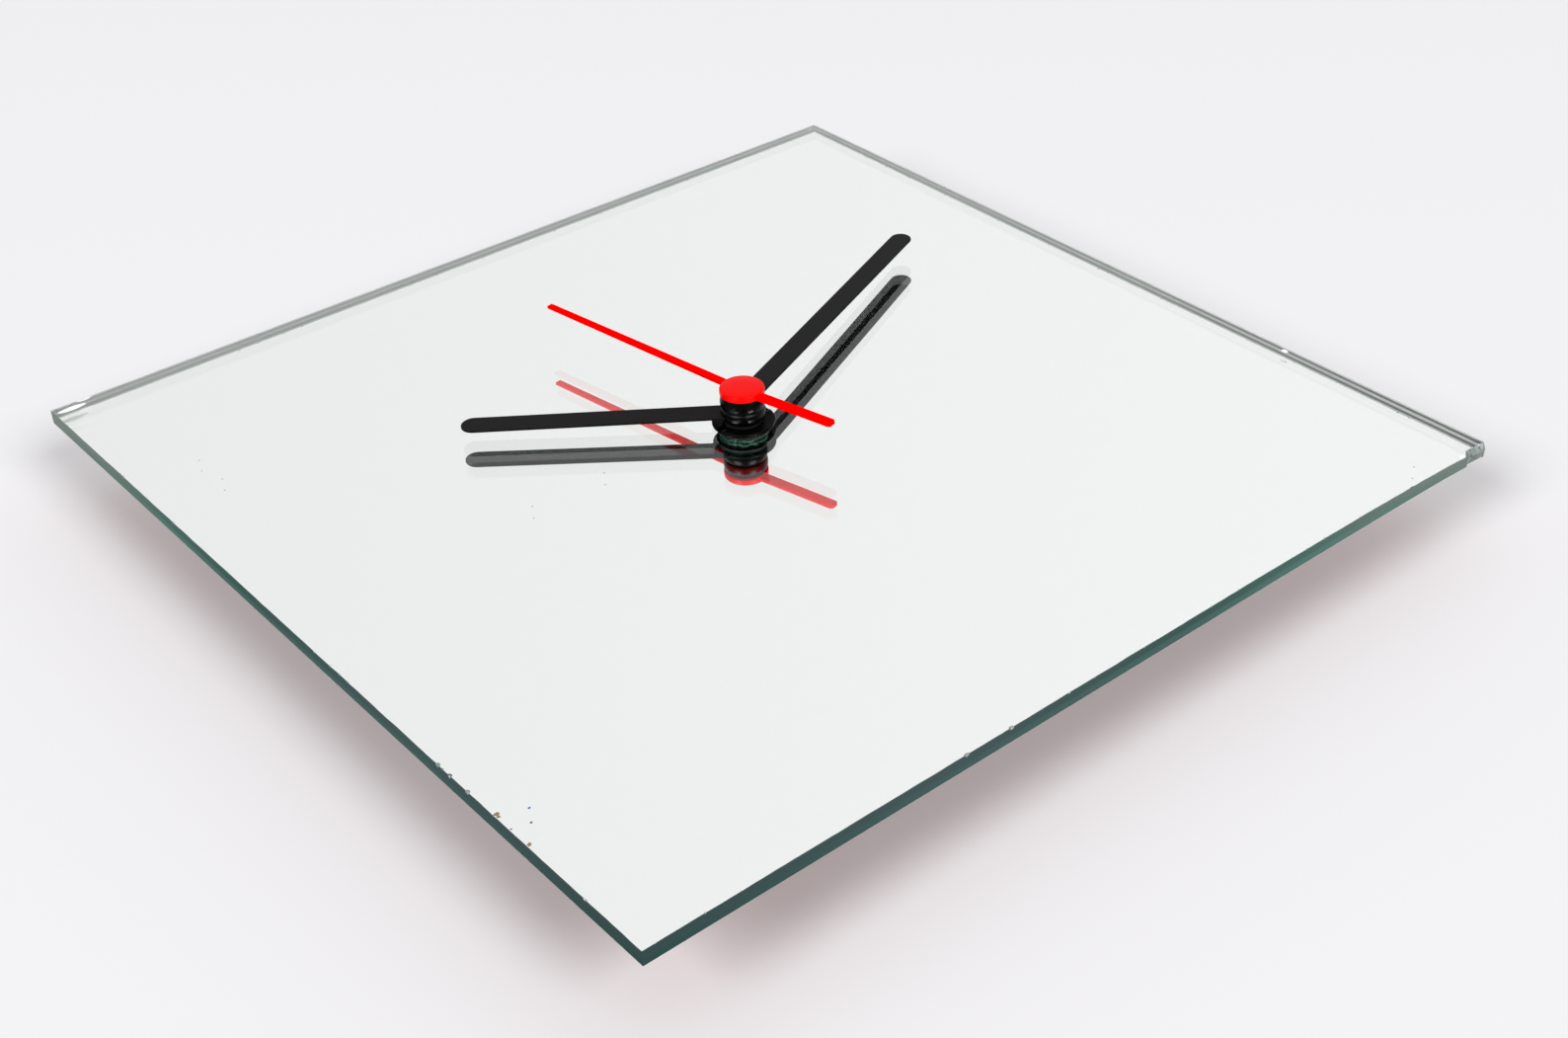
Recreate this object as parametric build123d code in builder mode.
from build123d import *
import os
from math import atan2, cos, degrees, hypot, pi, radians, sin

# A frameless square mirror clock that lies on its back.
# The origin is on the flat back of the movement, under the axis of the hands.
# +Z points out of the dial, +Y to twelve o'clock and +X to three o'clock. Millimetres.

os.makedirs("parts", exist_ok=True)

# Mirror plate
plate_size = 200.0
plate_shift_x = -1.2
plate_shift_y = -0.9
glass_thickness = 3.0
silver_thickness = 0.05
paint_thickness = 0.10
seam_width = 0.3
hole_radius = 4.9
hole_ragged_shares = (1.0, 1.03, 0.98, 1.05, 1.01, 0.97, 1.04, 1.0, 0.98, 1.03, 1.06, 0.99, 1.02, 0.97, 1.03, 1.0)
film_inset = 0.15
film_hole_radius = 5.4

# Broken corner at the lower left, seen from the front
flare_out = 1.2
flare_length = 28.0
flare_middle_share = 0.22
break_length = 6.5
break_depth = 1.5
break_step = 1.3
break_tip = 0.8

# Flakes along the top of two edges
flake_length = 8.5
flake_width = 3.2
flake_depth = 0.9
nick_place = 53.0
nick_length = 2.6
nick_width = 1.0
nick_depth = 0.9

# Case of the movement: its width follows the battery, its height the bay, the wheels and the coil
case_wall = 1.4
case_front_wall = 1.2
case_corner_radius = 3.0
case_edge_radius = 0.7
back_thickness = 1.5
cell_end_room = 2.7
cell_side_room = 0.3
cell_front_room = 0.3
window_end_room = 0.85
bay_wall = 1.0
bay_edge = 1.7
bay_wheel_gap = 2.7
coil_wheel_gap = 1.2
coil_wall_gap = 1.4
post_radius = 1.5
post_wall_gap = 3.1
post_bay_gap = 5.3
post_coil_gap = 8.1
hook_width = 4.0
hook_thickness = 0.9
hook_height = 4.3
hook_barb = 0.8
hook_along_shares = (0.5, -0.07, 0.14)
hook_turns = (0, -90, 90)
boss_radius = 1.6
boss_height = 0.8

# Threaded bush on the front of the case
bush_radius = 4.0
bush_stand = 1.9
thread_pitch = 0.75
thread_depth = 0.4

# Hanging tab
tab_width = 15.0
tab_reach = 10.5
tab_thickness = 2.0
tab_eye_radius = 2.4
tab_eye_edge = 3.2
tab_corner_radius = 4.0

# Cushion, washer and nut
pad_inset = 4.0
pad_thickness = 1.0
pad_hole_radius = 6.2
pad_corner_radius = 2.0
washer_radius = 5.5
washer_thickness = 0.8
nut_radius = 6.25
nut_thickness = 0.7
nut_edge_radius = 0.2
nut_slot_width = 1.4
nut_slot_depth = 0.6
thread_clearance = 0.05

# Fits
running_clearance = 0.08
free_clearance = 0.3
seat_gap = 0.05
cut_overrun = 1.0

# Gear teeth: each row is a height above the pitch line, as a share of the module,
# and half a tooth's width there, as a share of the pitch
wheel_tooth_shares = ((-1.30, 0.245), (0.0, 0.205), (0.55, 0.13), (0.80, 0.06))
leaf_tooth_shares = ((-1.25, 0.17), (0.0, 0.17), (0.45, 0.12), (0.65, 0.05))
rotor_leaves = 10
idler_teeth = 50
idler_leaves = 10
seconds_teeth = 60
seconds_leaves = 8
third_teeth = 60
third_leaves = 8
centre_teeth = 64
cannon_leaves = 16
motion_teeth = 48
motion_leaves = 12
hour_teeth = 48
step_module = 0.26
third_distance = 9.0
motion_distance = 10.88
idler_direction = 10.0
rotor_direction = 30.0
third_direction = 100.0
motion_direction = 180.0
wheel_thickness = 0.8
web_thickness = 0.45
web_rim = 1.5
web_hub = 0.9

# Shafts
arbor_radius = 0.5
pivot_radius = 0.35
pivot_length = 0.55
shaft_radius = 0.7
cannon_radius = 1.6
hour_pipe_radius = 2.6
stem_radius = 1.1

# Heights in the movement, from the back face
pivot_seat_z = 2.3
idler_wheel_z = 2.6
idler_leaf_height = 1.7
rotor_leaf_z = 2.5
rotor_leaf_height = 1.6
seconds_wheel_z = 4.0
seconds_leaf_height = 1.5
third_wheel_z = 5.2
third_leaf_height = 2.3
centre_wheel_z = 7.2
centre_hub_below = 0.4
centre_hub_above = 0.4
centre_hub_radius = 2.5
middle_plate_z = 8.9
middle_plate_thickness = 1.0
cannon_flange_z = 6.55
cannon_flange_height = 0.2
cannon_flange_radius = 2.3
cannon_leaf_z = 10.4
cannon_leaf_height = 1.5
motion_wheel_z = 10.7
motion_leaf_height = 1.8
hour_wheel_z = 12.1
clutch_thickness = 0.3
clutch_radius = 2.45

# Circuit board
board_z = 2.4
board_thickness = 0.8
board_bay_gap = 1.5
board_end_reach = 2.4
board_gap = 0.4
board_notch = 1.6
blob_radius = 3.2
blob_height = 1.1
crystal_radius = 1.05
crystal_length = 6.2
crystal_blob_gap = 3.0
crystal_lead_radius = 0.2
crystal_lead_length = 1.8
crystal_lead_spread = 0.4

# Drive coil and stator
magnet_radius = 3.0
magnet_height = 2.0
magnet_z = 4.7
magnet_gap = 0.35
pole_radius = 5.2
stator_z = 5.2
stator_thickness = 1.0
stator_leg_width = 2.6
stator_notch_radius = 0.4
coil_left_reach = 3.4
coil_right_reach = 3.6
coil_flange = 0.8
coil_flange_radius = 3.6
coil_radius = 3.3
bobbin_radius = 2.2
core_left_x = 4.6
core_wall_gap = 1.0
core_width = 3.0
core_thickness = 1.0
stator_drop = 6.0
foot_width = 1.8
foot_height = 1.8
foot_reach = 3.4
foot_z = 4.2
pin_radius = 0.3
pin_shares = (0.25, 0.72)
pin_above = 0.6
screw_radius = 0.75
screw_head_radius = 1.35
screw_head_height = 0.8
screw_depth = 2.6
screw_slot = 0.4
screw_post_radius = 1.7

# Battery, a round cell of the common penlight size
cell_radius = 7.1
cell_length = 50.5
cell_nub_radius = 2.75
cell_nub_length = 1.2
cell_edge_radius = 0.5
cell_back_gap = 0.8

# Battery contacts
sheet_thickness = 0.3
contact_width = 8.5
contact_low_z = 3.0
contact_high_z = 12.0
strap_low_z = 3.2
strap_high_z = 5.4
strap_foot = 1.9
leaf_width = 6.0
leaf_reach = 1.9
leaf_root_share = 0.05
leaf_top_share = 0.92
strap_edge_gap = 3.1

# Setting knob
knob_radius = 4.3
knob_gap = 0.4
knob_back_z = 0.4
knob_height = 2.2
knob_hub_radius = 2.0
knob_hub_height = 0.8
knob_flutes = 18
knob_flute_radius = 0.35
stem_end_z = 1.2

# Hands: heights are above the glass, angles run clockwise from twelve
hour_angle = 37.9
hour_length = 55.0
hour_width = 5.0
hour_arm_height = 3.41
hour_tilt = 0.5
hour_boss_low = 2.2
hour_boss_high = 4.55
minute_angle = 155.4
minute_length = 79.4
minute_width = 4.6
minute_arm_height = 5.9
minute_tilt = 1.18
minute_boss_low = 4.75
minute_boss_high = 7.3
seconds_angle = 81.1
seconds_tail_turn = 4.2
seconds_reach = 54.3
seconds_tail = 22.0
seconds_root_width = 1.85
seconds_tip_width = 1.3
seconds_tail_width = 2.25
seconds_tail_bevel = 0.5
seconds_arm_height = 8.4
seconds_arm_thickness = 0.75
cap_low = 7.56
cap_high = 8.93
cap_edge_radius = 0.45
blade_thickness = 0.45
hand_boss_radius = 4.45
hand_boss_rounding = 0.75
hour_eye_radius = 3.7
minute_eye_radius = 3.2
pipe_above_hour = 4.2
pipe_above_minute = 6.9
arbor_above = 8.45
tube_wall = 0.4
tube_low = 7.0
tube_high = 8.6

# Gear modules and centre distances that follow
second_stage_module = third_distance * 2 / (seconds_leaves + third_teeth)
centre_module = third_distance * 2 / (third_leaves + centre_teeth)
motion_module = motion_distance * 2 / (cannon_leaves + motion_teeth)
hour_module = motion_distance * 2 / (motion_leaves + hour_teeth)
idler_distance = step_module * (idler_leaves + seconds_teeth) / 2
rotor_distance = step_module * (rotor_leaves + idler_teeth) / 2
seconds_wheel_radius = step_module * seconds_teeth / 2
third_wheel_radius = second_stage_module * third_teeth / 2

def turned(distance, direction, start=(0.0, 0.0)):
    """The point at a distance and a direction in degrees from a starting point."""
    return (start[0] + distance * cos(radians(direction)), start[1] + distance * sin(radians(direction)))


idler_x, idler_y = turned(idler_distance, idler_direction)
rotor_x, rotor_y = turned(rotor_distance, rotor_direction, (idler_x, idler_y))
third_x, third_y = turned(third_distance, third_direction)
motion_x, motion_y = turned(motion_distance, motion_direction)

# Heights that follow
case_depth = cell_back_gap + 2 * cell_radius + cell_front_room + case_front_wall
case_inner_z = case_depth - case_front_wall
pad_top_z = case_depth + pad_thickness
silver_z = pad_top_z + paint_thickness
glass_z = silver_z + silver_thickness
glass_top_z = glass_z + glass_thickness
bush_top_z = glass_top_z + bush_stand
middle_plate_top_z = middle_plate_z + middle_plate_thickness
board_top_z = board_z + board_thickness
core_z = stator_z + stator_thickness
coil_z = core_z + core_thickness / 2

# Walls of the case that follow, and its two rooms
inner_half = (cell_length + cell_end_room) / 2
case_half = inner_half + case_wall
bay_wall_high_y = -seconds_wheel_radius - bay_wheel_gap
bay_high_y = bay_wall_high_y - bay_wall
cell_y = bay_high_y - cell_side_room - cell_radius
bay_low_y = cell_y - cell_radius - cell_side_room
case_low_y = bay_low_y - bay_edge
coil_y = third_y + third_wheel_radius + coil_wheel_gap + coil_flange_radius
inner_high_y = coil_y + coil_flange_radius + coil_wall_gap
case_high_y = inner_high_y + case_wall
case_middle_y = (case_low_y + case_high_y) / 2
case_height = case_high_y - case_low_y
cell_z = cell_back_gap + cell_radius

# Places in plan that follow
plate_left = plate_shift_x - plate_size / 2
plate_right = plate_shift_x + plate_size / 2
plate_low = plate_shift_y - plate_size / 2
plate_high = plate_shift_y + plate_size / 2
core_right_x = inner_half - core_wall_gap
coil_left_x = core_left_x + coil_left_reach
coil_right_x = core_right_x - coil_right_reach
screw_places = ((core_left_x + core_width / 2, coil_y), (core_right_x - core_width / 2, coil_y))
post_low_y = bay_wall_high_y + post_bay_gap
post_high_y = coil_y - post_coil_gap
post_right_x = inner_half - post_wall_gap
post_places = ((-post_right_x, post_low_y), (-post_right_x, post_high_y), (post_right_x, post_low_y))
board_left_x = -inner_half + board_gap
board_inner_x = motion_x - knob_radius - knob_gap - 2 * board_gap
board_low_y = bay_wall_high_y + board_bay_gap
board_row_y = coil_y - coil_flange_radius
board_top_y = inner_high_y - board_gap
board_right_x = core_left_x + board_end_reach
blob_x = board_inner_x
blob_y = (board_row_y + board_top_y) / 2
crystal_x = blob_x + blob_radius + crystal_blob_gap
crystal_y = blob_y
strap_end_x = board_inner_x - strap_edge_gap
hook_walls = [
    (case_half * share, inner_high_y if turn == 0 else inner_half, turn)
    for share, turn in zip(hook_along_shares, hook_turns)
]


def level(z):
    """A plane parallel to the dial, over the axis of the hands."""
    return Plane.XY.offset(z)


def spot(x, y, z):
    """A plane parallel to the dial, over any point."""
    return Plane(origin=(x, y, z))


def column(x, y, low, high, radius, mode=Mode.ADD):
    """A round column between two heights."""
    with BuildSketch(spot(x, y, low)) as face:
        Circle(radius)
    extrude(face.sketch, amount=high - low, mode=mode)


def block(left, right, front, rear, low, high, mode=Mode.ADD):
    """A square-edged block between named sides."""
    with BuildSketch(spot((left + right) / 2, (front + rear) / 2, low)) as face:
        Rectangle(right - left, rear - front)
    extrude(face.sketch, amount=high - low, mode=mode)


def tooth_outline(teeth, module, tooth_shares, phase):
    """The corners of a toothed wheel whose first tooth points along phase, in degrees."""
    pitch_radius = teeth * module / 2
    pitch = 2 * pi / teeth
    corners = []
    for number in range(teeth):
        middle = radians(phase) + number * pitch
        for height, half_width in tooth_shares:
            radius = pitch_radius + height * module
            corners.append((radius * cos(middle - half_width * pitch), radius * sin(middle - half_width * pitch)))
        for height, half_width in reversed(tooth_shares):
            radius = pitch_radius + height * module
            corners.append((radius * cos(middle + half_width * pitch), radius * sin(middle + half_width * pitch)))
    return corners


def toothed(x, y, low, height, teeth, module, tooth_shares, phase):
    """A toothed slab, as high as its height."""
    with BuildSketch(spot(x, y, low)) as face:
        Polygon(*tooth_outline(teeth, module, tooth_shares, phase))
    extrude(face.sketch, amount=height)


def thin_web(x, y, low, teeth, module, hub):
    """Takes a wheel's web down between its hub and its rim."""
    rim = teeth * module / 2 - web_rim
    with BuildSketch(spot(x, y, low + web_thickness)) as face:
        Circle(rim)
        Circle(hub + web_hub, mode=Mode.SUBTRACT)
    extrude(face.sketch, amount=wheel_thickness, mode=Mode.SUBTRACT)


def mesh_phase(phase, teeth, other_teeth, direction):
    """The phase that puts another wheel's gap on the first wheel's tooth, along direction."""
    return direction + 180 + 180 / other_teeth - (phase - direction) * teeth / other_teeth


idler_leaf_phase = mesh_phase(0, seconds_teeth, idler_leaves, idler_direction)
rotor_phase = mesh_phase(0, idler_teeth, rotor_leaves, rotor_direction)
third_phase = mesh_phase(0, seconds_leaves, third_teeth, third_direction)
centre_phase = mesh_phase(0, third_leaves, centre_teeth, third_direction + 180)
motion_phase = mesh_phase(0, cannon_leaves, motion_teeth, motion_direction)
hour_phase = mesh_phase(0, motion_leaves, hour_teeth, motion_direction + 180)

# Mirror plate

flare_low = plate_low + break_length
plate_corners = (
    (plate_right, plate_high),
    (plate_left, plate_high),
    (plate_left, flare_low + flare_length),
    (plate_left - flare_out * flare_middle_share, flare_low + flare_length / 2),
    (plate_left - flare_out, flare_low),
    (plate_left - flare_out + break_depth, flare_low - break_step),
    (plate_left - flare_out + break_depth, plate_low + break_length / 2),
    (plate_left - break_tip, plate_low),
    (plate_right, plate_low),
)
hole_corners = [
    turned(hole_radius * share, 360 * number / len(hole_ragged_shares))
    for number, share in enumerate(hole_ragged_shares)
]

with BuildPart() as mirror_glass:
    with BuildSketch(level(glass_z)):
        Polygon(*plate_corners)
        Polygon(*hole_corners, mode=Mode.SUBTRACT)
    extrude(amount=glass_thickness)
    long_rims = mirror_glass.edges().filter_by(lambda edge: edge.length > plate_size / 2)
    chamfer(long_rims, seam_width)
    # The long flake beside the upper right corner, and the nick in the lower edge
    with BuildSketch(Plane.XZ.offset(-plate_high - cut_overrun)):
        Polygon(
            (plate_right - flake_width, glass_top_z + cut_overrun),
            (plate_right - flake_width, glass_top_z),
            (plate_right, glass_top_z - flake_depth),
            (plate_right + cut_overrun, glass_top_z - flake_depth),
            (plate_right + cut_overrun, glass_top_z + cut_overrun),
        )
    extrude(amount=flake_length + cut_overrun, mode=Mode.SUBTRACT)
    with BuildSketch(Plane.YZ.offset(-nick_place)):
        Polygon(
            (plate_low - cut_overrun, glass_top_z + cut_overrun),
            (plate_low - cut_overrun, glass_top_z - nick_depth),
            (plate_low, glass_top_z - nick_depth),
            (plate_low + nick_width, glass_top_z),
            (plate_low + nick_width, glass_top_z + cut_overrun),
        )
    extrude(amount=nick_length, mode=Mode.SUBTRACT)
mirror_glass.part.label = "mirror_glass"
export_step(mirror_glass.part, "parts/mirror_glass.step")


with BuildPart() as silver_film:
    with BuildSketch(level(silver_z)) as silver_face:
        Polygon(*plate_corners)
        offset(amount=-film_inset, kind=Kind.INTERSECTION)
        Circle(film_hole_radius, mode=Mode.SUBTRACT)
    extrude(amount=silver_thickness)
silver_film.part.label = "silver_film"
export_step(silver_film.part, "parts/silver_film.step")

with BuildPart() as backing_paint:
    with BuildSketch(level(pad_top_z)) as paint_face:
        Polygon(*plate_corners)
        offset(amount=-film_inset, kind=Kind.INTERSECTION)
        Circle(film_hole_radius, mode=Mode.SUBTRACT)
    extrude(amount=paint_thickness)
backing_paint.part.label = "backing_paint"
export_step(backing_paint.part, "parts/backing_paint.step")

# Cushion between the movement and the plate

with BuildPart() as foam_pad:
    with BuildSketch(level(case_depth)):
        with Locations((0, case_middle_y)):
            RectangleRounded(2 * (case_half - pad_inset), case_height - 2 * pad_inset, pad_corner_radius)
        Circle(pad_hole_radius, mode=Mode.SUBTRACT)
    extrude(amount=pad_thickness)
foam_pad.part.label = "foam_pad"
export_step(foam_pad.part, "parts/foam_pad.step")

# Washer and nut on the front

with BuildPart() as glass_washer:
    with BuildSketch(level(glass_top_z)):
        Circle(washer_radius)
        Circle(bush_radius + thread_clearance, mode=Mode.SUBTRACT)
    extrude(amount=washer_thickness)
glass_washer.part.label = "glass_washer"
export_step(glass_washer.part, "parts/glass_washer.step")

nut_z = glass_top_z + washer_thickness
with BuildPart() as dial_nut:
    with BuildSketch(level(nut_z)):
        Circle(nut_radius)
        Circle(bush_radius + thread_clearance, mode=Mode.SUBTRACT)
    extrude(amount=nut_thickness)
    outer_rims = dial_nut.edges().filter_by(GeomType.CIRCLE).group_by(SortBy.RADIUS)[-1]
    fillet(outer_rims, nut_edge_radius)
    with BuildSketch(level(nut_z + nut_thickness - nut_slot_depth / 2)):
        Rectangle(nut_slot_width, 2 * nut_radius)
        Circle(bush_radius + thread_clearance, mode=Mode.SUBTRACT)
    extrude(amount=nut_slot_depth, mode=Mode.SUBTRACT)
dial_nut.part.label = "dial_nut"
export_step(dial_nut.part, "parts/dial_nut.step")

# Front half of the case, with the partition of the battery bay and the threaded bush

bush_bore = hour_pipe_radius + running_clearance
hour_wheel_top_z = hour_wheel_z + wheel_thickness
motion_leaf_top_z = motion_wheel_z + wheel_thickness + motion_leaf_height
thread_turns = int((bush_top_z - case_depth) / thread_pitch)

with BuildPart() as case_front:
    with BuildSketch(level(back_thickness)):
        with Locations((0, case_middle_y)):
            RectangleRounded(2 * case_half, case_height, case_corner_radius)
    extrude(amount=case_depth - back_thickness)
    fillet(case_front.faces().sort_by(Axis.Z)[-1].edges(), case_edge_radius)
    with BuildSketch(level(back_thickness)):
        with Locations((0, case_middle_y)):
            RectangleRounded(2 * inner_half, case_height - 2 * case_wall, case_corner_radius - case_wall)
    extrude(amount=case_inner_z - back_thickness, mode=Mode.SUBTRACT)
    block(-inner_half, inner_half, bay_high_y, bay_wall_high_y, back_thickness, case_inner_z)
    column(0, 0, case_inner_z - case_front_wall, bush_top_z, bush_radius)
    for turn in range(thread_turns):
        groove_z = bush_top_z - (turn + 1) * thread_pitch
        with BuildSketch(Plane.XZ):
            Polygon(
                (bush_radius + thread_depth, groove_z),
                (bush_radius + thread_depth, groove_z + thread_pitch),
                (bush_radius, groove_z + thread_pitch),
                (bush_radius - thread_depth, groove_z + thread_pitch / 2),
                (bush_radius, groove_z),
            )
        revolve(axis=Axis.Z, mode=Mode.SUBTRACT)
    for post_x, post_y in post_places:
        column(post_x, post_y, middle_plate_top_z, case_inner_z, post_radius)
    column(motion_x, motion_y, motion_leaf_top_z + free_clearance, case_inner_z, boss_radius)
    column(0, 0, case_inner_z - 2 * case_front_wall, bush_top_z, bush_bore, mode=Mode.SUBTRACT)
    column(motion_x, motion_y, motion_leaf_top_z, case_inner_z, shaft_radius + running_clearance, mode=Mode.SUBTRACT)
    # Slots through the partition for the contact straps
    for side in (-1, 1):
        inner_side = side * inner_half
        slot_side = side * (inner_half - 2 * sheet_thickness)
        block(min(inner_side, slot_side), max(inner_side, slot_side), bay_high_y - cut_overrun,
              bay_wall_high_y + cut_overrun, strap_low_z - free_clearance, strap_high_z + free_clearance,
              mode=Mode.SUBTRACT)
    # Windows for the hooks of the back
    for along, reach, turn_angle in hook_walls:
        wall = Plane.XY.offset(back_thickness).rotated((0, 0, turn_angle))
        with BuildSketch(wall.offset(hook_height - 2 * hook_barb - free_clearance)) as window:
            with Locations((along, reach + case_wall / 2)):
                Rectangle(hook_width + 2 * free_clearance, case_wall + free_clearance)
        extrude(window.sketch, amount=2 * (hook_barb + free_clearance), mode=Mode.SUBTRACT)
case_front.part.label = "case_front"
export_step(case_front.part, "parts/case_front.step")

# Back of the case, with the bay window, the posts, the pivot bosses and the hanging tab

tab_top_y = case_high_y + tab_reach
with BuildPart() as case_back:
    with BuildSketch(level(0)):
        with Locations((0, case_middle_y)):
            RectangleRounded(2 * case_half, case_height, case_corner_radius)
        with Locations((0, cell_y)):
            Rectangle(cell_length + 2 * window_end_room, bay_high_y - bay_low_y, mode=Mode.SUBTRACT)
        with Locations((motion_x, motion_y)):
            Circle(knob_radius + knob_gap, mode=Mode.SUBTRACT)
    extrude(amount=back_thickness)
    with BuildSketch(level(0)) as tab_face:
        with Locations((0, (case_high_y + tab_top_y - case_wall) / 2)):
            RectangleRounded(tab_width, tab_reach + case_wall, tab_corner_radius)
        with Locations((0, case_high_y - case_wall / 2)):
            Rectangle(tab_width, case_wall)
    extrude(tab_face.sketch, amount=back_thickness)
    with BuildSketch(level(0)) as tab_top:
        with Locations((0, (case_high_y + tab_top_y + free_clearance) / 2)):
            Rectangle(tab_width - tab_corner_radius, tab_reach - free_clearance)
    extrude(tab_top.sketch, amount=tab_thickness)
    column(0, tab_top_y - tab_eye_edge - tab_eye_radius, -cut_overrun, tab_thickness + cut_overrun,
           tab_eye_radius, mode=Mode.SUBTRACT)
    for post_x, post_y in post_places:
        column(post_x, post_y, 0, middle_plate_z, post_radius)
        column(post_x, post_y, 0, board_z, post_radius + boss_height)
    for pivot_x, pivot_y in ((0, 0), (idler_x, idler_y), (rotor_x, rotor_y), (third_x, third_y)):
        column(pivot_x, pivot_y, 0, pivot_seat_z - seat_gap, boss_radius)
        column(pivot_x, pivot_y, pivot_seat_z - pivot_length - seat_gap, pivot_seat_z,
               pivot_radius + running_clearance, mode=Mode.SUBTRACT)
    for screw_x, screw_y in screw_places:
        column(screw_x, screw_y, 0, stator_z, screw_post_radius)
        column(screw_x, screw_y, core_z + core_thickness - screw_depth - core_thickness, stator_z,
               screw_radius, mode=Mode.SUBTRACT)
    for along, reach, turn_angle in hook_walls:
        wall = Plane.XY.offset(back_thickness).rotated((0, 0, turn_angle))
        with BuildSketch(wall) as hook_face:
            with Locations((along, reach - free_clearance / 2 - hook_thickness / 2)):
                Rectangle(hook_width, hook_thickness)
        extrude(hook_face.sketch, amount=hook_height)
        with BuildSketch(wall.offset(hook_height - 2 * hook_barb)) as barb_face:
            with Locations((along, reach - free_clearance / 2 + hook_barb / 2)):
                Rectangle(hook_width, hook_barb)
        extrude(barb_face.sketch, amount=hook_barb)
case_back.part.label = "case_back"
export_step(case_back.part, "parts/case_back.step")

# Middle plate with the upper pivots

with BuildPart() as middle_plate:
    block(-inner_half + free_clearance, inner_half - free_clearance, bay_wall_high_y + free_clearance,
          board_row_y - coil_wheel_gap, middle_plate_z, middle_plate_top_z)
    for pivot_x, pivot_y in ((idler_x, idler_y), (rotor_x, rotor_y), (third_x, third_y)):
        column(pivot_x, pivot_y, middle_plate_z - cut_overrun, middle_plate_top_z + cut_overrun,
               pivot_radius + running_clearance, mode=Mode.SUBTRACT)
    column(0, 0, middle_plate_z - cut_overrun, middle_plate_top_z + cut_overrun,
           cannon_flange_radius + free_clearance, mode=Mode.SUBTRACT)
    column(motion_x, motion_y, middle_plate_z - cut_overrun, middle_plate_top_z + cut_overrun,
           stem_radius + running_clearance, mode=Mode.SUBTRACT)
middle_plate.part.label = "middle_plate"
export_step(middle_plate.part, "parts/middle_plate.step")

# Battery, nub to the left

cell_left_x = -inner_half + seat_gap + sheet_thickness
cell_can_x = cell_left_x + cell_nub_length
cell_right_x = cell_left_x + cell_length
with BuildPart() as battery_cell:
    with BuildSketch(Plane(origin=(cell_can_x, cell_y, cell_z), z_dir=(1, 0, 0))):
        Circle(cell_radius)
    extrude(amount=cell_length - cell_nub_length)
    fillet(battery_cell.edges().filter_by(GeomType.CIRCLE), cell_edge_radius)
    with BuildSketch(Plane(origin=(cell_left_x, cell_y, cell_z), z_dir=(1, 0, 0))) as nub_face:
        Circle(cell_nub_radius)
    extrude(nub_face.sketch, amount=cell_nub_length)
battery_cell.part.label = "battery_cell"
export_step(battery_cell.part, "parts/battery_cell.step")

# Battery contacts, each a plate on the case wall with a strap to the circuit board

strap_foot_y = board_low_y + strap_foot
with BuildPart() as contact_positive:
    wall_x = -inner_half + seat_gap
    block(wall_x, wall_x + sheet_thickness, cell_y - contact_width / 2, cell_y + contact_width / 2,
          contact_low_z, contact_high_z)
    block(wall_x, wall_x + sheet_thickness, cell_y, strap_foot_y, strap_low_z, strap_high_z)
    block(wall_x, wall_x + sheet_thickness + strap_foot, board_low_y, strap_foot_y,
          board_top_z, board_top_z + sheet_thickness)
contact_positive.part.label = "contact_positive"
export_step(contact_positive.part, "parts/contact_positive.step")

strap_y = bay_wall_high_y + seat_gap
leaf_root_x = inner_half - seat_gap - sheet_thickness
contact_height = contact_high_z - contact_low_z
leaf_root_z = contact_low_z + leaf_root_share * contact_height
leaf_top_z = contact_low_z + leaf_top_share * contact_height
leaf_tip_x = cell_right_x + seat_gap
with BuildPart() as contact_negative:
    block(leaf_root_x, leaf_root_x + sheet_thickness, cell_y - contact_width / 2, cell_y + contact_width / 2,
          contact_low_z, contact_high_z)
    block(leaf_root_x, leaf_root_x + sheet_thickness, cell_y, strap_y + sheet_thickness, strap_low_z, strap_high_z)
    block(strap_end_x, leaf_root_x + sheet_thickness, strap_y, strap_y + sheet_thickness, strap_low_z, strap_high_z)
    block(strap_end_x, strap_end_x + strap_foot, strap_y, board_low_y + strap_foot,
          board_top_z, board_top_z + sheet_thickness)
    with BuildSketch(Plane.XZ.offset(-cell_y - leaf_width / 2)) as leaf_face:
        Polygon(
            (leaf_root_x, leaf_root_z),
            (leaf_root_x, leaf_root_z + 2 * sheet_thickness),
            (leaf_tip_x + sheet_thickness, cell_z),
            (leaf_root_x - sheet_thickness, leaf_top_z),
            (leaf_root_x - 2 * sheet_thickness, leaf_top_z),
            (leaf_tip_x, cell_z),
            (leaf_root_x - sheet_thickness, leaf_root_z),
        )
    extrude(leaf_face.sketch, amount=leaf_width)
contact_negative.part.label = "contact_negative"
export_step(contact_negative.part, "parts/contact_negative.step")

# Circuit board, chip and timing crystal

with BuildPart() as circuit_board:
    with BuildSketch(level(board_z)):
        Polygon(
            (board_left_x, board_low_y),
            (board_inner_x, board_low_y),
            (board_inner_x, board_row_y),
            (board_right_x, board_row_y),
            (board_right_x, board_top_y),
            (board_left_x, board_top_y),
        )
        for post_x, post_y in post_places[:2]:
            with Locations((post_x, post_y)):
                Circle(post_radius + free_clearance, mode=Mode.SUBTRACT)
        with Locations(screw_places[0]):
            Circle(screw_post_radius + free_clearance, mode=Mode.SUBTRACT)
        with Locations((-inner_half, hook_walls[2][0])):
            Rectangle(2 * board_notch, hook_width + 2 * free_clearance, mode=Mode.SUBTRACT)
    extrude(amount=board_thickness)
circuit_board.part.label = "circuit_board"
export_step(circuit_board.part, "parts/circuit_board.step")

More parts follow.
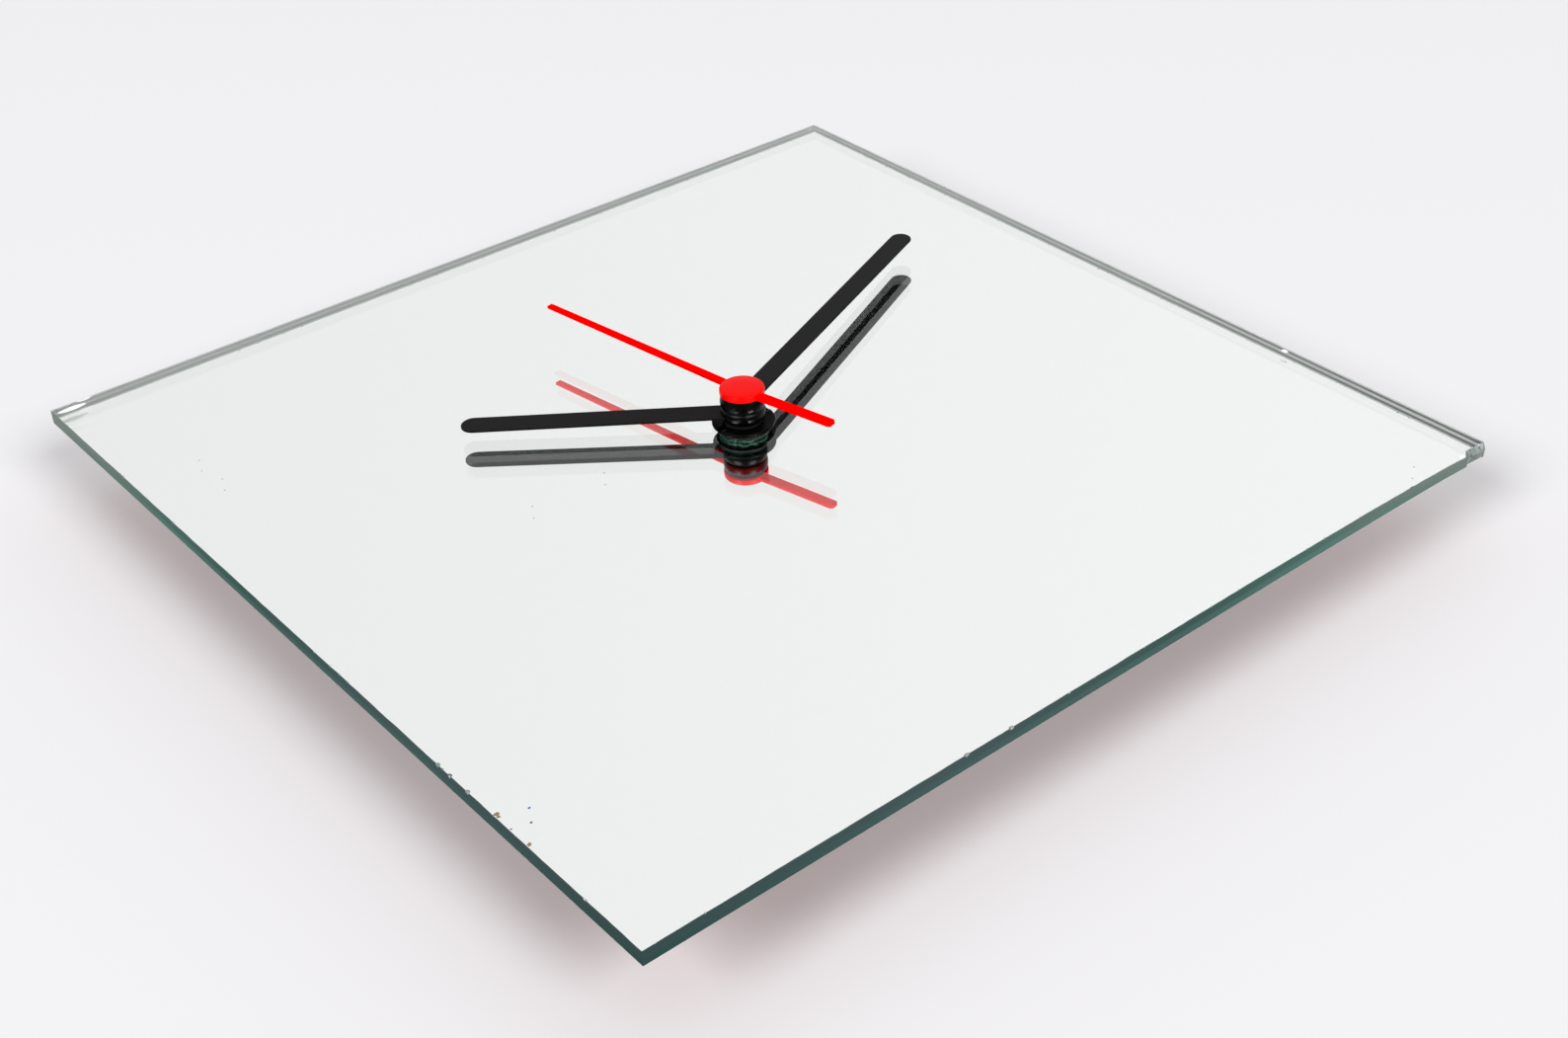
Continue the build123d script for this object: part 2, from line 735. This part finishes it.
blob_dome_radius = (blob_radius * blob_radius + blob_height * blob_height) / (2 * blob_height)
with BuildPart() as chip_blob:
    with BuildSketch(Plane(origin=(blob_x, blob_y, board_top_z), x_dir=(1, 0, 0), z_dir=(0, -1, 0))):
        with BuildLine():
            foot_line = Line((0, 0), (blob_radius, 0))
            dome = RadiusArc(foot_line @ 1, (0, blob_height), -blob_dome_radius)
            Line(dome @ 1, (0, 0))
        make_face()
    revolve(axis=Axis((blob_x, blob_y, 0), (0, 0, 1)))
chip_blob.part.label = "chip_blob"
export_step(chip_blob.part, "parts/chip_blob.step")

crystal_z = board_top_z + crystal_radius
with BuildPart() as crystal_can:
    with BuildSketch(Plane(origin=(crystal_x, crystal_y, crystal_z), z_dir=(1, 0, 0))):
        Circle(crystal_radius)
    extrude(amount=crystal_length)
    for side in (-1, 1):
        lead_y = crystal_y + side * crystal_lead_spread
        with BuildSketch(Plane(origin=(crystal_x, lead_y, crystal_z), z_dir=(-1, 0, 0))) as lead_face:
            Circle(crystal_lead_radius)
        extrude(lead_face.sketch, amount=crystal_lead_length)
        column(crystal_x - crystal_lead_length, lead_y, board_top_z, crystal_z, crystal_lead_radius)
crystal_can.part.label = "crystal_can"
export_step(crystal_can.part, "parts/crystal_can.step")

# Drive coil

with BuildPart() as coil_bobbin:
    with BuildSketch(Plane(origin=(coil_left_x, coil_y, coil_z), z_dir=(1, 0, 0))) as barrel_face:
        Circle(bobbin_radius)
    extrude(barrel_face.sketch, amount=coil_right_x - coil_left_x)
    for flange_x in (coil_left_x, coil_right_x - coil_flange):
        with BuildSketch(Plane(origin=(flange_x, coil_y, coil_z), z_dir=(1, 0, 0))) as flange_face:
            Circle(coil_flange_radius)
        extrude(flange_face.sketch, amount=coil_flange)
    foot_y = coil_y + core_width / 2 + free_clearance
    block(coil_left_x - foot_reach, coil_left_x, foot_y, foot_y + foot_width, foot_z, foot_z + foot_height)
    block(coil_left_x - cut_overrun, coil_right_x + cut_overrun, coil_y - core_width / 2 - seat_gap,
          coil_y + core_width / 2 + seat_gap, core_z - seat_gap, core_z + core_thickness + seat_gap,
          mode=Mode.SUBTRACT)
    pin_y = foot_y + foot_width / 2
    pin_places = [(coil_left_x - foot_reach + share * foot_reach, pin_y) for share in pin_shares]
    for pin_x, pin_place_y in pin_places:
        column(pin_x, pin_place_y, foot_z, foot_z + foot_height, pin_radius, mode=Mode.SUBTRACT)
coil_bobbin.part.label = "coil_bobbin"
export_step(coil_bobbin.part, "parts/coil_bobbin.step")

with BuildPart() as coil_winding:
    winding_x = coil_left_x + coil_flange
    with BuildSketch(Plane(origin=(winding_x, coil_y, coil_z), z_dir=(1, 0, 0))):
        Circle(coil_radius)
        Circle(bobbin_radius, mode=Mode.SUBTRACT)
    extrude(amount=coil_right_x - coil_flange - winding_x)
coil_winding.part.label = "coil_winding"
export_step(coil_winding.part, "parts/coil_winding.step")

with BuildPart() as coil_pins:
    for pin_x, pin_place_y in pin_places:
        column(pin_x, pin_place_y, board_top_z, foot_z + foot_height + pin_above, pin_radius)
coil_pins.part.label = "coil_pins"
export_step(coil_pins.part, "parts/coil_pins.step")

with BuildPart() as coil_core:
    block(core_left_x, core_right_x, coil_y - core_width / 2, coil_y + core_width / 2, core_z, core_z + core_thickness)
    for screw_x, screw_y in screw_places:
        column(screw_x, screw_y, core_z, core_z + core_thickness, screw_radius, mode=Mode.SUBTRACT)
coil_core.part.label = "coil_core"
export_step(coil_core.part, "parts/coil_core.step")


def bar(start, end, width):
    """A straight bar of a sketch between two points."""
    with Locations(((start[0] + end[0]) / 2, (start[1] + end[1]) / 2)):
        Rectangle(hypot(end[0] - start[0], end[1] - start[1]), width,
                  rotation=degrees(atan2(end[1] - start[1], end[0] - start[0])))


tab_low_y = coil_y - stator_drop
tab_high_y = coil_y + core_width / 2
left_tab_x = core_left_x + core_width / 2
right_tab_x = core_right_x - core_width / 2
with BuildPart() as stator:
    with BuildSketch(level(stator_z)):
        with Locations((rotor_x, rotor_y)):
            Circle(pole_radius)
        for tab_x, pole_side in ((left_tab_x, 135), (right_tab_x, 60)):
            with Locations((tab_x, (tab_low_y + tab_high_y) / 2)):
                Rectangle(core_width, tab_high_y - tab_low_y)
            bar((tab_x, tab_low_y + stator_leg_width / 2),
                turned(pole_radius - stator_leg_width / 2, pole_side, (rotor_x, rotor_y)), stator_leg_width)
        with Locations((rotor_x, rotor_y)):
            Circle(magnet_radius + magnet_gap, mode=Mode.SUBTRACT)
            with PolarLocations(magnet_radius + magnet_gap, 2, 45):
                Circle(stator_notch_radius, mode=Mode.SUBTRACT)
        with Locations(*screw_places):
            Circle(screw_radius, mode=Mode.SUBTRACT)
    extrude(amount=stator_thickness)
stator.part.label = "stator"
export_step(stator.part, "parts/stator.step")

with BuildPart() as stator_screws:
    head_z = core_z + core_thickness
    for screw_x, screw_y in screw_places:
        column(screw_x, screw_y, head_z - screw_depth, head_z, screw_radius)
        column(screw_x, screw_y, head_z, head_z + screw_head_height, screw_head_radius)
        with BuildSketch(spot(screw_x, screw_y, head_z + screw_head_height / 2)) as slot_face:
            Rectangle(2 * screw_head_radius, screw_slot)
        extrude(slot_face.sketch, amount=screw_head_height, mode=Mode.SUBTRACT)
stator_screws.part.label = "stator_screws"
export_step(stator_screws.part, "parts/stator_screws.step")

# Rotor

pivot_top_z = middle_plate_z + pivot_length
with BuildPart() as rotor_pinion:
    toothed(rotor_x, rotor_y, rotor_leaf_z, rotor_leaf_height, rotor_leaves, step_module, leaf_tooth_shares,
            rotor_phase)
    column(rotor_x, rotor_y, pivot_seat_z, middle_plate_z - seat_gap, shaft_radius)
    column(rotor_x, rotor_y, pivot_seat_z - pivot_length, pivot_top_z, pivot_radius)
rotor_pinion.part.label = "rotor_pinion"
export_step(rotor_pinion.part, "parts/rotor_pinion.step")

with BuildPart() as rotor_magnet:
    with BuildSketch(spot(rotor_x, rotor_y, magnet_z)):
        Circle(magnet_radius)
        Circle(shaft_radius, mode=Mode.SUBTRACT)
    extrude(amount=magnet_height)
rotor_magnet.part.label = "rotor_magnet"
export_step(rotor_magnet.part, "parts/rotor_magnet.step")

# Wheels of the going train

with BuildPart() as intermediate_wheel:
    toothed(idler_x, idler_y, idler_wheel_z, wheel_thickness, idler_teeth, step_module, wheel_tooth_shares, 0)
    thin_web(idler_x, idler_y, idler_wheel_z, idler_teeth, step_module, shaft_radius)
    toothed(idler_x, idler_y, idler_wheel_z + web_thickness, wheel_thickness - web_thickness + idler_leaf_height,
            idler_leaves, step_module, leaf_tooth_shares, idler_leaf_phase)
    column(idler_x, idler_y, pivot_seat_z, middle_plate_z - seat_gap, shaft_radius)
    column(idler_x, idler_y, pivot_seat_z - pivot_length, pivot_top_z, pivot_radius)
intermediate_wheel.part.label = "intermediate_wheel"
export_step(intermediate_wheel.part, "parts/intermediate_wheel.step")

seconds_leaf_z = seconds_wheel_z + wheel_thickness
with BuildPart() as seconds_wheel:
    toothed(0, 0, seconds_wheel_z, wheel_thickness, seconds_teeth, step_module, wheel_tooth_shares, 0)
    thin_web(0, 0, seconds_wheel_z, seconds_teeth, step_module, shaft_radius)
    toothed(0, 0, seconds_wheel_z + web_thickness, wheel_thickness - web_thickness + seconds_leaf_height,
            seconds_leaves, second_stage_module, leaf_tooth_shares, 0)
    column(0, 0, pivot_seat_z + seat_gap, seconds_wheel_z, shaft_radius + web_hub)
    column(0, 0, pivot_seat_z, seconds_leaf_z + seconds_leaf_height, arbor_radius, mode=Mode.SUBTRACT)
seconds_wheel.part.label = "seconds_wheel"
export_step(seconds_wheel.part, "parts/seconds_wheel.step")

with BuildPart() as seconds_arbor:
    column(0, 0, pivot_seat_z, glass_top_z + arbor_above, arbor_radius)
    column(0, 0, pivot_seat_z - pivot_length, pivot_seat_z, pivot_radius)
seconds_arbor.part.label = "seconds_arbor"
export_step(seconds_arbor.part, "parts/seconds_arbor.step")

with BuildPart() as third_wheel:
    toothed(third_x, third_y, third_wheel_z, wheel_thickness, third_teeth, second_stage_module,
            wheel_tooth_shares, third_phase)
    thin_web(third_x, third_y, third_wheel_z, third_teeth, second_stage_module, shaft_radius)
    toothed(third_x, third_y, third_wheel_z + web_thickness, wheel_thickness - web_thickness + third_leaf_height,
            third_leaves, centre_module, leaf_tooth_shares, 0)
    column(third_x, third_y, pivot_seat_z, third_wheel_z, shaft_radius)
    column(third_x, third_y, pivot_seat_z - pivot_length, pivot_top_z, pivot_radius)
    column(third_x, third_y, third_wheel_z, middle_plate_z - seat_gap, shaft_radius)
third_wheel.part.label = "third_wheel"
export_step(third_wheel.part, "parts/third_wheel.step")

centre_hub_low_z = centre_wheel_z - centre_hub_below
centre_hub_high_z = centre_wheel_z + wheel_thickness + centre_hub_above
with BuildPart() as centre_wheel:
    toothed(0, 0, centre_wheel_z, wheel_thickness, centre_teeth, centre_module, wheel_tooth_shares, centre_phase)
    thin_web(0, 0, centre_wheel_z, centre_teeth, centre_module, centre_hub_radius)
    column(0, 0, centre_hub_low_z, centre_hub_high_z, centre_hub_radius)
    column(0, 0, centre_hub_low_z, centre_hub_high_z, cannon_radius + seat_gap, mode=Mode.SUBTRACT)
centre_wheel.part.label = "centre_wheel"
export_step(centre_wheel.part, "parts/centre_wheel.step")

# Cannon pipe, which carries the minute hand, and the spring washer of its clutch

cannon_bore = arbor_radius + running_clearance
with BuildPart() as cannon_pipe:
    toothed(0, 0, cannon_leaf_z, cannon_leaf_height, cannon_leaves, motion_module, leaf_tooth_shares, 0)
    column(0, 0, cannon_flange_z, glass_top_z + pipe_above_minute, cannon_radius)
    column(0, 0, cannon_flange_z, cannon_flange_z + cannon_flange_height, cannon_flange_radius)
    column(0, 0, cannon_flange_z, glass_top_z + pipe_above_minute, cannon_bore, mode=Mode.SUBTRACT)
cannon_pipe.part.label = "cannon_pipe"
export_step(cannon_pipe.part, "parts/cannon_pipe.step")

with BuildPart() as clutch_spring:
    with BuildSketch(level(centre_hub_high_z + seat_gap)):
        Circle(clutch_radius)
        Circle(cannon_radius, mode=Mode.SUBTRACT)
    extrude(amount=clutch_thickness)
clutch_spring.part.label = "clutch_spring"
export_step(clutch_spring.part, "parts/clutch_spring.step")

# Motion work

motion_leaf_z = motion_wheel_z + wheel_thickness
with BuildPart() as motion_wheel:
    toothed(motion_x, motion_y, motion_wheel_z, wheel_thickness, motion_teeth, motion_module,
            wheel_tooth_shares, motion_phase)
    thin_web(motion_x, motion_y, motion_wheel_z, motion_teeth, motion_module, stem_radius)
    toothed(motion_x, motion_y, motion_wheel_z + web_thickness, wheel_thickness - web_thickness + motion_leaf_height,
            motion_leaves, hour_module, leaf_tooth_shares, 0)
    column(motion_x, motion_y, stem_end_z, motion_wheel_z, stem_radius)
    column(motion_x, motion_y, motion_leaf_top_z, case_inner_z - free_clearance, shaft_radius)
motion_wheel.part.label = "motion_wheel"
export_step(motion_wheel.part, "parts/motion_wheel.step")

knob_top_z = knob_back_z + knob_height
with BuildPart() as setting_knob:
    with BuildSketch(spot(motion_x, motion_y, knob_back_z)):
        Circle(knob_radius)
        with PolarLocations(knob_radius, knob_flutes):
            Circle(knob_flute_radius, mode=Mode.SUBTRACT)
    extrude(amount=knob_height)
    column(motion_x, motion_y, knob_top_z, knob_top_z + knob_hub_height, knob_hub_radius)
    column(motion_x, motion_y, stem_end_z, knob_top_z + knob_hub_height, stem_radius, mode=Mode.SUBTRACT)
setting_knob.part.label = "setting_knob"
export_step(setting_knob.part, "parts/setting_knob.step")

hour_bore = cannon_radius + running_clearance
with BuildPart() as hour_wheel:
    toothed(0, 0, hour_wheel_z, wheel_thickness, hour_teeth, hour_module, wheel_tooth_shares, hour_phase)
    thin_web(0, 0, hour_wheel_z, hour_teeth, hour_module, hour_pipe_radius)
    column(0, 0, hour_wheel_z, glass_top_z + pipe_above_hour, hour_pipe_radius)
    column(0, 0, hour_wheel_z, glass_top_z + pipe_above_hour, hour_bore, mode=Mode.SUBTRACT)
hour_wheel.part.label = "hour_wheel"
export_step(hour_wheel.part, "parts/hour_wheel.step")


def hand_plane(angle, height, tilt):
    """A plane on a hand's upper face: its X runs from the axis to the tip and dips by the tilt."""
    heading = radians(90 - angle)
    dip = radians(tilt)
    along = Vector(cos(heading) * cos(dip), sin(heading) * cos(dip), -sin(dip))
    across = Vector(-sin(heading), cos(heading), 0)
    return Plane(origin=(0, 0, glass_top_z + height), x_dir=along, z_dir=along.cross(across))


def blade(plane, length, width, eye, hole):
    """A flat hand with a round eye about the axis and a round tip."""
    with BuildSketch(plane) as face:
        Circle(eye)
        with Locations((length / 2 - width / 4, 0)):
            Rectangle(length - width / 2, width)
        with Locations((length - width / 2, 0)):
            Circle(width / 2)
        Circle(hole, mode=Mode.SUBTRACT)
    extrude(face.sketch, amount=-blade_thickness)


# Hour hand

with BuildPart() as hour_hand:
    blade(hand_plane(hour_angle, hour_arm_height, hour_tilt), hour_length, hour_width, hour_eye_radius,
          hour_pipe_radius + seat_gap)
hour_hand.part.label = "hour_hand"
export_step(hour_hand.part, "parts/hour_hand.step")

with BuildPart() as hour_boss:
    column(0, 0, glass_top_z + hour_boss_low, glass_top_z + hour_boss_high, hand_boss_radius)
    fillet(hour_boss.edges().filter_by(GeomType.CIRCLE), hand_boss_rounding)
    column(0, 0, glass_top_z + hour_boss_low, glass_top_z + pipe_above_hour, hour_pipe_radius, mode=Mode.SUBTRACT)
    column(0, 0, glass_top_z + hour_boss_low, glass_top_z + hour_boss_high, cannon_radius + free_clearance,
           mode=Mode.SUBTRACT)
    add(hour_hand.part, mode=Mode.SUBTRACT)
hour_boss.part.label = "hour_boss"
export_step(hour_boss.part, "parts/hour_boss.step")

# Minute hand

with BuildPart() as minute_hand:
    blade(hand_plane(minute_angle, minute_arm_height, minute_tilt), minute_length, minute_width,
          minute_eye_radius, cannon_radius + seat_gap)
minute_hand.part.label = "minute_hand"
export_step(minute_hand.part, "parts/minute_hand.step")

tube_radius = arbor_radius + tube_wall
with BuildPart() as minute_boss:
    column(0, 0, glass_top_z + minute_boss_low, glass_top_z + minute_boss_high, hand_boss_radius)
    fillet(minute_boss.edges().filter_by(GeomType.CIRCLE), hand_boss_rounding)
    column(0, 0, glass_top_z + minute_boss_low, glass_top_z + pipe_above_minute, cannon_radius, mode=Mode.SUBTRACT)
    column(0, 0, glass_top_z + minute_boss_low, glass_top_z + minute_boss_high, tube_radius + free_clearance,
           mode=Mode.SUBTRACT)
    add(minute_hand.part, mode=Mode.SUBTRACT)
minute_boss.part.label = "minute_boss"
export_step(minute_boss.part, "parts/minute_boss.step")

# Seconds hand, one red moulding with a metal socket

with BuildPart() as seconds_hand:
    with BuildSketch(hand_plane(seconds_angle, seconds_arm_height, 0)):
        Polygon(
            (0, -seconds_root_width / 2),
            (seconds_reach, -seconds_tip_width / 2),
            (seconds_reach, seconds_tip_width / 2),
            (0, seconds_root_width / 2),
        )
    extrude(amount=-seconds_arm_thickness)
    with BuildSketch(hand_plane(seconds_angle - seconds_tail_turn, seconds_arm_height, 0)):
        Polygon(
            (0, -seconds_tail_width / 2),
            (-seconds_tail + seconds_tail_bevel, -seconds_tail_width / 2),
            (-seconds_tail, -seconds_tail_width / 2 + seconds_tail_bevel),
            (-seconds_tail, seconds_tail_width / 2 - seconds_tail_bevel),
            (-seconds_tail + seconds_tail_bevel, seconds_tail_width / 2),
            (0, seconds_tail_width / 2),
        )
    extrude(amount=-seconds_arm_thickness)
    with BuildSketch(Plane.XZ) as cap_face:
        with BuildLine():
            Polyline(
                (0, glass_top_z + cap_high),
                (0, glass_top_z + cap_low),
                (hand_boss_radius, glass_top_z + cap_low),
                (hand_boss_radius, glass_top_z + cap_high - cap_edge_radius),
            )
            rim = RadiusArc(
                (hand_boss_radius, glass_top_z + cap_high - cap_edge_radius),
                (hand_boss_radius - cap_edge_radius, glass_top_z + cap_high),
                -cap_edge_radius,
            )
            Line(rim @ 1, (0, glass_top_z + cap_high))
        make_face()
    revolve(cap_face.sketch, axis=Axis.Z)
    column(0, 0, glass_top_z + cap_low, glass_top_z + tube_high, tube_radius, mode=Mode.SUBTRACT)
seconds_hand.part.label = "seconds_hand"
export_step(seconds_hand.part, "parts/seconds_hand.step")

with BuildPart() as seconds_tube:
    column(0, 0, glass_top_z + tube_low, glass_top_z + tube_high, tube_radius)
    column(0, 0, glass_top_z + tube_low, glass_top_z + arbor_above, arbor_radius, mode=Mode.SUBTRACT)
seconds_tube.part.label = "seconds_tube"
export_step(seconds_tube.part, "parts/seconds_tube.step")
